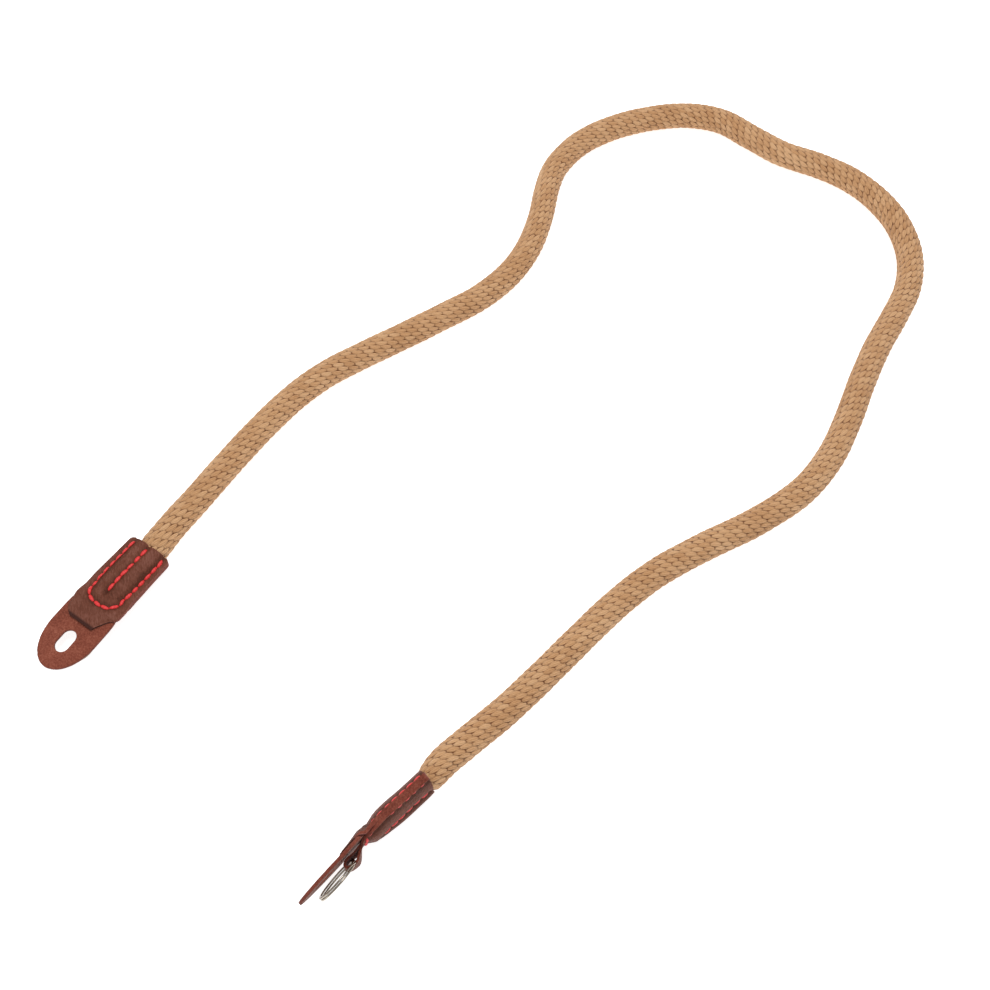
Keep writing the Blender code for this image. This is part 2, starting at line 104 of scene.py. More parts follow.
# Pressed end of the rope: place as a share of POCKET, then thickness and width as shares of ROPE_D
PRESSED_ROPE = (
    (-0.90, 1.00, 1.00), (-0.45, 0.95, 1.02), (-0.12, 0.78, 1.06), (0.00, 0.54, 1.08), (0.25, 0.54, 1.08),
    (0.55, 0.55, 1.06), (0.80, 0.50, 1.00), (0.93, 0.42, 0.86), (1.00, 0.34, 0.72),
)

# Front cover: place as a share of COVER_LENGTH, then its reach to either side, as shares of COVER_HALF
FRONT_OUTLINE = (
    (0.000, 0.78, 0.78), (0.020, 0.93, 0.93), (0.060, 1.00, 1.00), (0.250, 1.01, 1.01), (0.550, 1.03, 1.05),
    (0.700, 1.03, 1.14), (0.767, 1.02, 1.17), (0.800, 1.01, 1.12), (0.827, 1.01, 0.96), (0.926, 0.91, 0.70),
    (0.970, 0.75, 0.60), (1.000, 0.57, 0.56),
)

# Back cover up to its tail: place as a share of NECK, half width as a share of COVER_HALF
BACK_OUTLINE = (
    (0.00, 0.78), (0.03, 0.93), (0.08, 1.00), (0.30, 1.01), (0.60, 1.04), (0.78, 1.05), (0.90, 0.96),
    (0.98, 0.72), (1.04, 0.45),
)

# The guard as it looks
GUARD_STEPS = 120  # round its end
GUARD_FRAY = 0.05 * MM  # spread of how far its cut edge lies in
GUARD_SOFT = 0.22 * MM  # radius of its edges
GUARD_FLAT = 0.75  # least slant of the faces that show its grain or suede, 1 being flat
SLOT_STEPS = 24  # round each end of its slot

# The guard's hidden end: place along the tab in millimetres, half width as a share of GUARD_HALF
GUARD_WIDENS = ((28.0, 0.45), (30.2, 0.62), (31.4, 0.84), (32.3, 0.95), (34.0, 0.98), (37.0, 0.995))

LAYER_W = 0.5 * CLEARANCE
RETURN_START = NECK - TAIL_TUCK
LOOP_U = NECK + LOOP_REACH
LOOP_OUTER = LOOP_ROOM + TAIL_T

# Soft leather as it looks: sewn close together, a little thicker than its solids
SEWN = 0.02 * MM  # half of the gap between the two covers beside the rope
FRONT_WALL = 1.55 * MM
BACK_WALL = 1.45 * MM
TAIL_SHARE = 0.64  # of BACK_WALL, which the tail keeps round the ring
SKIVED_SHARE = 0.45  # of BACK_WALL, left where the tail is thinned for its seam
FRONT_NECK_W = LAYER_W + LEATHER_T + 0.05 * MM
RETURN_W = LAYER_W + SKIVED_SHARE * BACK_WALL
BACK_NECK_W = RETURN_W + 0.05 * MM
BULGE_FOOT = 0.95  # share of the bulge's half width from which its foot eases out
FLANGE_BEND = 0.12 * MM  # by which the covers' sides bend to the back
FLANGE = (6.5, 10.0)  # mm beside the middle, between which they bend
BULGE_MORE = 0.12 * MM  # by which the leather stands over the pressed rope
SKEW_HALF = 7.5 * MM  # beside the middle, where the back's lean counts in full
EDGE_SOFT = 0.28 * MM
SHARP = math.radians(50.0)  # between two faces whose edge shows as sharp
FRONT_GRID = (96, 48)  # mesh steps along and across
BACK_GRID = (72, 44)
ON_FLOOR = 0.02 * MM  # least height over the surface
FLAP_LIFT = {"left": 0.35 * MM, "right": 0.0}
FLANK_THIN = {"left": 0.0, "right": 0.42}  # share of its wall that the front loses beside the guard
LEAST_WALL = 0.45  # share of its wall that the front keeps everywhere
FRONT_RISE = {"left": 6.5 * MM, "right": 2.6 * MM}  # length of the front's step up onto the guard
FRONT_RISEN = (28.0 * MM, 4.2 * MM)  # its end in the middle, and how much later it ends at the sides
LOOP_INNER = {"left": 1.50 * MM, "right": 1.15 * MM}
LOOP_LONG = 3.2 * MM
LOOP_FLARE = {"left": 0.0, "right": 0.48 * MM}  # by which the loop's edges swing out and in
CORNER = 2.0 * MM

# How each pocket was squeezed in sewing: place along it in millimetres, then the front's and the back's
# height as shares of the rope's, the back's lean to one side, and the depth of the back's middle groove
SQUEEZE = {
    "left": ((0.0, 0.92, 0.95, 0.0, 0.2), (10.0, 0.95, 0.95, 0.0, 0.4), (26.0, 1.0, 1.0, 0.0, 0.3)),
    "right": (
        (0.0, 1.0, 0.85, 0.55, 0.4), (3.0, 0.98, 0.86, 0.66, 0.9), (10.0, 0.95, 0.86, 0.70, 1.0),
        (20.0, 1.10, 0.88, 0.50, 0.7), (26.0, 1.14, 0.93, 0.15, 0.3),
    ),
}
FRONT_GROOVE = 0.45 * MM
FRONT_GROOVE_W = 1.6 * MM
BACK_GROOVE_W = 1.5 * MM
ROPE_TWIST = {"left": 0.0, "right": 9.0}  # degrees by which the rope's pressed end is turned

# The rope at its mouth as it looks, full up to the leather: place as a share of POCKET, then thickness and
# width as shares of ROPE_D
ROPE_MOUTH = (
    (-0.90, 1.00, 1.00), (-0.35, 0.97, 1.03), (-0.13, 0.90, 1.07), (-0.03, 0.78, 1.08), (0.04, 0.50, 1.06),
    (0.16, 0.30, 1.02), (1.00, 0.24, 0.72),
)

# The braid, on the rope's unrolled surface: along the rope and round it. One strand shows as plump
# lozenges in line; the next line beside it is shifted by about half a lozenge.
BRAID_ALONG = 6  # mesh steps from one lozenge to the next in its line
BRAID_ACROSS = 4  # mesh steps from one line of lozenges to the next
BRAID_LINES = 19  # lines that make up one turn of the rope
BRAID_TURN_STEPS = 8  # steps that a line gains in one turn
BRAID_SHIFT = 4  # steps by which the next line's lozenges are ahead
BRAID_SIDE_BY_SIDE = (3.45, -0.47)  # mm from a lozenge to its neighbour in the next line
BRAID_CREST = 6.03 * MM  # radius over the lozenges
BRAID_RELIEF = 0.60 * MM  # depth of the gaps between them
BRAID_SWELL = 0.17  # share of a line's width by which its gaps bulge
BRAID_PLACES = (0.17, 0.34, 0.5)  # from a lozenge's middle, as shares of the step to the next in its line
BRAID_CROWN = (1.0, 0.78, 0.10)  # height of its crown at those places, as a share of BRAID_RELIEF
BRAID_GAP = (0.36, 0.04, -0.12)  # and of the gap beside it

# Seams: the thread's legs beside the rope, the turn below it, and the line down the middle
SEAM_TOP = 1.2 * MM
SEAM_TURN = 25.8 * MM
SEAM_DEEP = 5.1 * MM
SEAM_HIGH = 7.2 * MM
SEAM_LOW = 6.5 * MM
MIDDLE_START = 1.6 * MM
MIDDLE_END = 24.7 * MM
STITCHES = (19, 6)  # of the turned seam and the middle one
SEAM_DENTS = ((0.22, 0.85), (0.38, 1.2))  # mm deep and wide, of both
HOLE_DENT = (0.36, 0.55)  # the same at each hole
SEAM_SHADE = 1.4 * MM  # half width of the painted shade along a seam's valley
SEAM_FADE = (2.5, 1.5)  # mm past the neck, between which a seam's marks end
FRONT_SUNK = {"left": 0.06, "right": 0.24}  # mm by which the turned seam's thread lies in
BACK_SUNK = {"left": 0.10, "right": 0.58}
MIDDLE_SUNK = 0.18
THREAD_W = 1.48 * MM
THREAD_FLAT = 0.60  # height of the thread as a share of its width
THREAD_TURN = 1.1 * MM  # length of thread in which its plies turn once
STITCH_SHARE = 0.97  # of the way from one stitch to the next that a stitch takes up
STITCH_SPREAD = {"shift": 0.03, "size": 0.06, "share": 0.05, "slant": 0.09}  # how unlike stitches are
SEAM_ROOM = 0.5 * MM  # from a seam's ends to its first and last hole
SEAM_NUDGE = 0.05 * MM  # to either side of a place, where a seam's direction there is measured


def new_object(name, data):
    thing = bpy.data.objects.new(name, data)
    bpy.context.scene.collection.objects.link(thing)
    return thing


# Camera
def set_camera():
    """The camera stands where the photograph was taken from."""
    data = bpy.data.cameras.new("camera")
    data.lens = 44.552
    data.sensor_width = 36.0
    data.clip_start = 0.01
    data.clip_end = 20.0
    camera = new_object("camera", data)
    right = Vector((0.7826, 0.6225, 0.0))
    up = Vector((-0.5466, 0.6871, 0.4786))
    back = Vector((0.2979, -0.3745, 0.8780))
    turn = Matrix((right, up, back)).transposed().to_4x4()
    camera.matrix_world = Matrix.Translation((0.17377, -0.05267, 0.45532)) @ turn
    bpy.context.scene.camera = camera


# Shader language
class Look:
    """A material's nodes, or one value among them. Operators on values add Math nodes."""

    def __init__(self, tree, socket=None):
        self.tree = tree
        self.socket = socket

    def node(self, kind, settings=(), sockets=(), output=0):
        """Adds a node: its settings first, then the values or links of its sockets."""
        made = self.tree.nodes.new(kind)
        for name, value in dict(settings).items():
            if name == "stops":
                self.set_stops(made.color_ramp, value)
            else:
                setattr(made, name, value)
        for key, value in dict(sockets).items():
            if isinstance(value, Look):
                self.tree.links.new(value.socket, made.inputs[key])
            else:
                made.inputs[key].default_value = value
        return Look(self.tree, made.outputs[output])

    def set_stops(self, ramp, stops):
        """Colour stops of a ramp, as (place, colour)."""
        while len(ramp.elements) > 1:
            ramp.elements.remove(ramp.elements[-1])
        ramp.elements[0].position = stops[0][0]
        ramp.elements[0].color = stops[0][1]
        for place, colour in stops[1:]:
            ramp.elements.new(place).color = colour

    def maths(self, operation, *values):
        return self.node("ShaderNodeMath", {"operation": operation}, dict(enumerate(values)))

    def clamp(self):
        return self.node("ShaderNodeClamp", (), {0: self})

    def ramp(self, *stops):
        """This value as a colour between the stops."""
        full = [(place, (*colour, 1.0)) for place, colour in stops]
        return self.node("ShaderNodeValToRGB", {"stops": full}, {0: self})

    def between(self, low, high):
        """This value's smooth step from low to high, as 0 to 1."""
        settings = {"interpolation_type": "SMOOTHSTEP"}
        return self.node("ShaderNodeMapRange", settings, {0: self, 1: low, 2: high})

    def __add__(self, other):
        return self.maths("ADD", self, other)

    def __sub__(self, other):
        return self.maths("SUBTRACT", self, other)

    def __rsub__(self, other):
        return self.maths("SUBTRACT", other, self)

    def __mul__(self, other):
        return self.maths("MULTIPLY", self, other)

    __radd__ = __add__
    __rmul__ = __mul__

    def blend(self, first, second):
        """first where this value is 0, second where it is 1, both colours."""
        sockets = {0: self, 6: first, 7: second}
        return self.node("ShaderNodeMix", {"data_type": "RGBA"}, sockets, 2)


def rgb(red, green, blue):
    return (red, green, blue, 1.0)


class Finish:
    """A Principled material with its coordinates and its shader."""

    def __init__(self, name):
        self.material = bpy.data.materials.new(name)
        self.material.use_nodes = True
        self.tree = self.material.node_tree
        self.look = Look(self.tree)
        self.shader = self.tree.nodes["Principled BSDF"]

    def place(self):
        """Object coordinates."""
        return self.look.node("ShaderNodeTexCoord", (), (), 3)

    def drawn_out(self, angle, times):
        """Object coordinates that draw patterns out along an angle on the floor, in degrees."""
        turn = (0.0, 0.0, math.radians(angle))
        sockets = {"Vector": self.place(), "Rotation": turn, "Scale": (times, 1.0, 1.0)}
        return self.look.node("ShaderNodeMapping", {"vector_type": "TEXTURE"}, sockets)

    def noise(self, scale, detail=3.0, rough=0.5, bend=0.0, where=None):
        sockets = {"Scale": scale, "Detail": detail, "Roughness": rough, "Distortion": bend}
        sockets["Vector"] = where or self.place()
        return self.look.node("ShaderNodeTexNoise", (), sockets)

    def own(self, name):
        """A value that the mesh holds at each of its points."""
        return self.look.node("ShaderNodeAttribute", {"attribute_name": name}, (), 2)

    def uv(self, name):
        """The two coordinates of one of the mesh's own maps."""
        flat = self.look.node("ShaderNodeUVMap", {"uv_map": name})
        return [self.look.node("ShaderNodeSeparateXYZ", (), {0: flat}, axis) for axis in (0, 1)]

    def joined(self, x, y, z):
        return self.look.node("ShaderNodeCombineXYZ", (), {0: x, 1: y, 2: z})

    def bump(self, height, distance, strength=1.0, after=None):
        sockets = {"Height": height, "Distance": distance, "Strength": strength}
        if after is not None:
            sockets["Normal"] = after
        return self.look.node("ShaderNodeBump", (), sockets)

    def finish(self, **inputs):
        """Sets or links the shader's sockets, and gives back the material."""
        for name, value in inputs.items():
            socket = self.shader.inputs[name.replace("_", " ")]
            if isinstance(value, Look):
                self.tree.links.new(value.socket, socket)
            else:
                socket.default_value = value
        return self.material


# Materials
def cotton():
    """Braided cotton: plump strands of fine parallel yarn, with shade painted dark into the gaps between
    them.
    """
    f = Finish("braided_cotton")
    along, across = f.uv("braid")
    relief = f.own("relief")
    line = across.maths("FLOOR", across)
    lozenge = (along - line * (BRAID_SHIFT / BRAID_ALONG)) + 0.5
    whole = lozenge.maths("FLOOR", lozenge)
    lozenge_and_line = {"Vector": f.joined(whole, line, 0.0)}
    chance = f.look.node("ShaderNodeTexWhiteNoise", {"noise_dimensions": "2D"}, lozenge_and_line)
    stain = f.noise(45.0, 3.0, 0.55)
    fuzz = f.noise(2600.0, 3.0, 0.6)
    wander = f.noise(2.0, 2.0, where=f.joined(along * 2.0, across * 2.0, 0.0))
    turns = (across * 3.0 + along * 0.6 + wander * 0.7) * math.tau
    yarn = turns.maths("SINE", turns) * 0.5 + 0.5
    tone = (chance * 0.26 + stain * 0.38 + fuzz * 0.44 + yarn * 0.26 - 0.17).clamp()
    cloth = tone.ramp((0.15, (0.39, 0.185, 0.074)), (0.5, (0.55, 0.305, 0.146)), (0.85, (0.68, 0.430, 0.240)))
    # Painted shade: where the relief is low, in the gaps between the lozenges, the colour turns dark brown.
    depth = (relief + (fuzz - 0.5) * 0.26 + (yarn - 0.5) * 0.20).between(0.0, 0.62)
    colour = depth.blend(rgb(0.125, 0.038, 0.010), cloth)
    threads = f.bump(yarn * 0.7 + fuzz * 0.6, 0.00020, 0.8)
    sheen = {"Sheen_Weight": 0.12, "Sheen_Roughness": 0.6}
    return f.finish(Base_Color=colour, Roughness=0.88, Normal=threads, Specular_IOR_Level=0.15, **sheen)


def smooth_leather():
    """Grain side of the leather: brown, lightly mottled, finely wrinkled, with a soft shine; painted
    highlight streaks along the wrinkles and painted shade along the seams.
    """
    f = Finish("smooth_leather")
    cloud = f.noise(90.0, 4.0, 0.55)
    patch = f.noise(420.0, 3.0, 0.6)
    pores = f.look.node("ShaderNodeTexVoronoi", {"feature": "F1"}, {"Vector": f.place(), "Scale": 2600.0})
    crease = f.noise(900.0, 4.0, 0.65, 0.6)
    # The wrinkles bump the surface, and as painted highlight they also lighten the colour in drawn-out
    # streaks.
    wrinkle_and_painted_highlight = f.noise(1500.0, 3.0, 0.6, 0.4, f.drawn_out(-41.0, 3.0))
    # Painted shade: the pressed value darkens the leather in the valleys along the seams.
    tone = (cloud * 0.62 + patch * 0.36 + wrinkle_and_painted_highlight * 0.80 - f.own("pressed") * 0.34 - 0.33).clamp()
    middle = (0.5, (0.142, 0.044, 0.025))
    colour = tone.ramp((0.2, (0.078, 0.022, 0.011)), middle, (0.8, (0.216, 0.083, 0.058)))
    colour = f.own("burnt").blend(colour, rgb(0.052, 0.016, 0.011))
    rough = (0.42 + cloud * 0.14 + patch * 0.10).clamp()
    fine = f.bump(pores * 0.35 + crease * 0.4, 0.00014, 0.6)
    drawn = f.bump(wrinkle_and_painted_highlight, 0.00055, 0.95, fine)
    broad = f.bump(patch, 0.00024, 0.5, drawn)
    return f.finish(Base_Color=colour, Roughness=rough, Normal=broad, Specular_IOR_Level=0.12)


def suede(name, dark, middle, light):
    """Flesh side of the leather: flecked, fuzzy and dull."""
    f = Finish(name)
    cloud = f.noise(160.0, 3.0, 0.6)
    fleck = f.noise(1500.0, 4.0, 0.7)
    nap = f.noise(4200.0, 2.0, 0.6)
    tone = (cloud * 0.35 + fleck * 0.75 + nap * 0.2 - 0.16).clamp()
    colour = tone.ramp((0.28, dark), (0.48, middle), (0.72, light))
    raised = f.bump(fleck * 0.8 + nap * 0.5, 0.00018, 0.8)
    sheen = {"Sheen_Weight": 0.12, "Sheen_Roughness": 0.5}
    return f.finish(Base_Color=colour, Roughness=0.95, Normal=raised, Specular_IOR_Level=0.1, **sheen)


def red_thread():
    """Waxed red thread with its plies."""
    f = Finish("red_thread")
    along, round_it = f.uv("thread")
    turns = (along + round_it) * math.tau
    ply = turns.maths("SINE", turns) * 0.5 + 0.5
    fuzz = f.noise(3500.0, 2.0, 0.6)
    tone = (ply * 0.35 + fuzz * 0.6 + 0.02).clamp()
    colour = tone.ramp((0.2, (0.56, 0.014, 0.016)), (0.55, (0.72, 0.024, 0.025)), (0.9, (0.82, 0.050, 0.046)))
    raised = f.bump(ply * 0.5 + fuzz * 0.3, 0.00012, 0.5)
    return f.finish(Base_Color=colour, Roughness=0.55, Normal=raised)


def nickel():
    """Bright warm nickel with faint handling marks."""
    f = Finish("nickel_plate")
    smear = f.noise(260.0, 3.0, 0.6)
    lines = f.look.node("ShaderNodeVectorMath", {"operation": "MULTIPLY"}, {0: f.place(), 1: (1.0, 6.0, 1.0)})
    scratch = f.noise(1800.0, 3.0, 0.6, where=lines)
    colour = smear.ramp((0.3, (0.31, 0.268, 0.215)), (0.7, (0.45, 0.400, 0.330)))
    rough = (0.08 + smear * 0.10 + scratch * 0.08).clamp()
    return f.finish(Base_Color=colour, Roughness=rough, Metallic=1.0, Normal=f.bump(scratch, 0.00002, 0.35))


# Shape of the tabs
def smooth_step(x):
    x = np.clip(x, 0.0, 1.0)
    return x * x * (3.0 - 2.0 * x)


def ease(x, zero, one):
    """A smooth step: 0 where x is the first number of millimetres, 1 where it is the second."""
    return smooth_step((x / MM - zero) / (one - zero))


def read_table(rows, places, column):
    """A table's column at these places, on a smooth line that never overshoots its rows."""
    x = np.array([row[0] for row in rows])
    y = np.array([row[column] for row in rows])
    rise = np.diff(y) / np.diff(x)
    before, after = rise[:-1], rise[1:]
    same = after * before > 0.0
    middle = np.zeros(len(before))
    middle[same] = 2.0 * after[same] * before[same] / (after[same] + before[same])
    slope = np.concatenate([rise[:1], middle, rise[-1:]])
    at = np.clip(np.asarray(places, float), x[0], x[-1])
    i = np.clip(np.searchsorted(x, at, side="right") - 1, 0, len(x) - 2)
    h = x[i + 1] - x[i]
    s = (at - x[i]) / h
    low = y[i] * (2.0 * s**3 - 3.0 * s**2 + 1.0) + y[i + 1] * (3.0 * s**2 - 2.0 * s**3)
    return low + h * (slope[i] * (s**3 - 2.0 * s**2 + s) + slope[i + 1] * (s**3 - s**2))


def lean(u):
    return math.tan(LEAN) * np.maximum(0.0, u - BEND)


LOOP_W = LAYER_W - float(lean(LOOP_U)) - CLEARANCE - LOOP_OUTER


def bulge(share, fullness):
    """Height of the bulge over the rope across it: full in the middle, with an eased foot."""
    foot = (1.0 - BULGE_FOOT**2) ** fullness
    slope = 2.0 * fullness * BULGE_FOOT * (1.0 - BULGE_FOOT**2) ** (fullness - 1.0)
    eased = foot * np.clip(1.0 - (share - BULGE_FOOT) * 0.5 * slope / foot, 0.0, 1.0) ** 2
    return np.where(share < BULGE_FOOT, (1.0 - np.minimum(share, BULGE_FOOT) ** 2) ** fullness, eased)


def cover_face(u, v, base, sink, fullness, height):
    """How far a cover's inner face stands off, over the layers beside the rope and the rope itself."""
    thick = (0.5 * ROPE_D * read_table(PRESSED_ROPE, u / POCKET, 1) + sink) * height
    wide = 0.5 * ROPE_D * read_table(PRESSED_ROPE, u / POCKET, 2) + SIDE_ROOM
    fade = 1.0 - smooth_step((u - POCKET) / (NECK - POCKET - BULGE_STOP))
    top = base + np.maximum(0.0, thick + BULGE_MORE - base) * fade
    return base + (top - base) * bulge(np.abs(v) / wide, fullness)


def flange(v):
    """How far the covers' sides bend to the back."""
    return FLANGE_BEND * ease(np.abs(v), *FLANGE)


def front_face(u, v, side):
    """The front cover's inner face. It steps up onto the guard, later beside it than in the middle."""
    risen = FRONT_RISEN[0] + FRONT_RISEN[1] * ease(np.abs(v), 3.5, 10.0)
    rise = smooth_step((u - risen) / FRONT_RISE[side] + 1.0)
    base = SEWN + (FRONT_NECK_W - SEWN) * rise
    lift = FLAP_LIFT[side] * ease(u - NECK, 2.0, 9.0)
    height = read_table(SQUEEZE[side], u / MM, 1)
    face = cover_face(u, v, base, -ROPE_SINK, FRONT_FULLNESS, height)
    groove = FRONT_GROOVE * ease(u, 27.5, 24.5) * np.exp(-((v / FRONT_GROOVE_W) ** 2))
    return face + lift - lean(u) - flange(v) * (1.0 - rise) - groove


def back_face(u, v, side):
    """As front_face, for the back, which hugs the guard beside its tail and leans to one side."""
    rise = smooth_step((u - RETURN_START + STEP_LEAD + STEP_LENGTH) / STEP_LENGTH)
    rise = rise * ease(np.abs(v), 5.7, 3.2)
    base = SEWN + (BACK_NECK_W - SEWN) * rise
    height = read_table(SQUEEZE[side], u / MM, 2)
    skew = read_table(SQUEEZE[side], u / MM, 3)
    groove = read_table(SQUEEZE[side], u / MM, 4) * MM * ease(u, 28.0, 24.0)
    depth = cover_face(u, v, base, ROPE_SINK, BACK_FULLNESS, height)
    depth = base + (depth - base) * (1.0 - skew * v / SKEW_HALF)
    depth = depth - groove * np.exp(-((v / BACK_GROOVE_W) ** 2))
    return -depth - lean(u) - flange(v) * ease(u, 28.0, 25.4)


def tab_matrix(side):
    """Turns a tab's own u, v and w into the strap's frame."""
    mouth, yaw, pitch, roll = TABS[side][:4]
    turn = Matrix.Rotation(math.radians(yaw), 4, "Z")
    turn = turn @ Matrix.Rotation(math.radians(pitch), 4, "Y") @ Matrix.Rotation(math.radians(roll), 4, "X")
    return Matrix.Translation(mouth) @ turn


# Meshes
def select_nothing():
    for thing in bpy.context.selected_objects:
        thing.select_set(False)


def active(thing):
    select_nothing()
    thing.select_set(True)
    bpy.context.view_layer.objects.active = thing


def apply_all(thing):
    """Applies a piece's modifiers."""
    active(thing)
    for modifier in list(thing.modifiers):
        bpy.ops.object.modifier_apply(modifier=modifier.name)


def new_piece(name, points, faces, materials):
    """A piece from its points and faces."""
    mesh = bpy.data.meshes.new(name)
    mesh.from_pydata([tuple(p) for p in points], [], [tuple(f) for f in faces])
    mesh.update()
    piece = new_object(name, mesh)
    for material in materials:
        mesh.materials.append(material)
    return piece


def added(name):
    """The mesh object that was just added, under its name."""
    piece = bpy.context.active_object
    piece.name = name
    piece.data.name = name
    return piece


def hold_values(mesh, name, values):
    """Gives the mesh a value at each of its points."""
    held = mesh.attributes.new(name, "FLOAT", "POINT")
    held.data.foreach_set("value", values.ravel().astype(np.float32))


def hold_map(mesh, name, places):
    """Gives the mesh a map: two coordinates at each corner of its faces."""
    held = mesh.uv_layers.new(name=name)
    held.data.foreach_set("uv", places.ravel().astype(np.float32))


def get_points(mesh):
    points = np.zeros(len(mesh.vertices) * 3)
    mesh.vertices.foreach_get("co", points)
    return points.reshape(-1, 3)


def mend(mesh, near=0.0):
    """Joins points that are so near, closes open ends and turns all faces outwards."""
    shape = bmesh.new()
    shape.from_mesh(mesh)
    if near > 0.0:
        bmesh.ops.remove_doubles(shape, verts=shape.verts, dist=near)
    bmesh.ops.holes_fill(shape, edges=[e for e in shape.edges if e.is_boundary], sides=0)
    bmesh.ops.recalc_face_normals(shape, faces=shape.faces)
    shape.to_mesh(mesh)
    shape.free()


def settle(piece, matrix):
    """Puts a piece made in a tab's own frame into the strap's, on or over the surface, and shades it."""
    piece.data.transform(matrix)
    for vertex in piece.data.vertices:
        vertex.co.z = max(vertex.co.z, ON_FLOOR)
    piece.matrix_world = Matrix.Identity(4)
    piece.data.shade_smooth()


def put_on(piece, body, slot, *nodes):
    """Seats a finished piece on its body, in place of the plain solids."""
    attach(piece, body)
    if nodes:
        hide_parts(*nodes)


def apply_matrix(points, matrix):
    m = np.array(matrix)
    return points @ m[:3, :3].T + m[:3, 3]


def unit(vectors):
    return vectors / np.linalg.norm(vectors, axis=1)[:, None]


def line_lengths(line):
    """Distance along a line of each of its points."""
    return np.concatenate([[0.0], np.cumsum(np.linalg.norm(np.diff(line, axis=0), axis=1))])


# Rope
def smooth_line(points, steps):
    """Points on a smooth curve through the given ones."""
    p = np.vstack([2.0 * points[0] - points[1], points, 2.0 * points[-1] - points[-2]])
    s = (np.arange(steps) / steps)[None, :, None]
    a, b, c, d = (p[i:len(p) - 3 + i][:, None, :] for i in range(4))
    square, cube = 2.0 * a - 5.0 * b + 4.0 * c - d, 3.0 * b - a - 3.0 * c + d
    line = b + 0.5 * ((c - a) * s + square * s**2 + cube * s**3)
    return np.vstack([line.reshape(-1, 3), points[-1:]])


def rope_line():
    """Middle of the rope from one pocket to the other."""
    ends = []
    for side in ("left", "right"):
        u = np.array([20.0, 12.0, 5.0, 0.0]) * MM
        inside = np.stack([u, 0.0 * u, -ROPE_SINK - lean(u)], axis=1)
        ends.append(apply_matrix(inside, tab_matrix(side)))
    free = np.array([(x * MM, y * MM, h * ROPE_D) for (x, y), h in zip(ROUTE, ROUTE_HEIGHTS)])
    return smooth_line(np.vstack([ends[0], free, ends[1][::-1]]), 24)


def press_rope(points, centres):
    """Flattens the rope across each tab's face, widens it along the face and turns it with the pocket."""
    for side in TABS:
        matrix = tab_matrix(side)
        local = apply_matrix(points, matrix.inverted())
        middle = apply_matrix(centres, matrix.inverted())
        along = middle[:, 0] / POCKET
        near = (along > ROPE_MOUTH[0][0]) & (np.linalg.norm(middle, axis=1) < 2.0 * POCKET)
        v = (local[:, 1] - middle[:, 1]) * read_table(ROPE_MOUTH, along, 2)
        w = (local[:, 2] - middle[:, 2]) * read_table(ROPE_MOUTH, along, 1)
        turn = math.radians(ROPE_TWIST[side]) * ease(middle[:, 0], -20.0, -1.0)
        new_v = middle[:, 1] + v * np.cos(turn) - w * np.sin(turn)
        new_w = middle[:, 2] + v * np.sin(turn) + w * np.cos(turn)
        pressed = apply_matrix(np.stack([local[:, 0], new_v, new_w], axis=1), matrix)
        points = np.where(near[:, None], pressed, points)
    return points


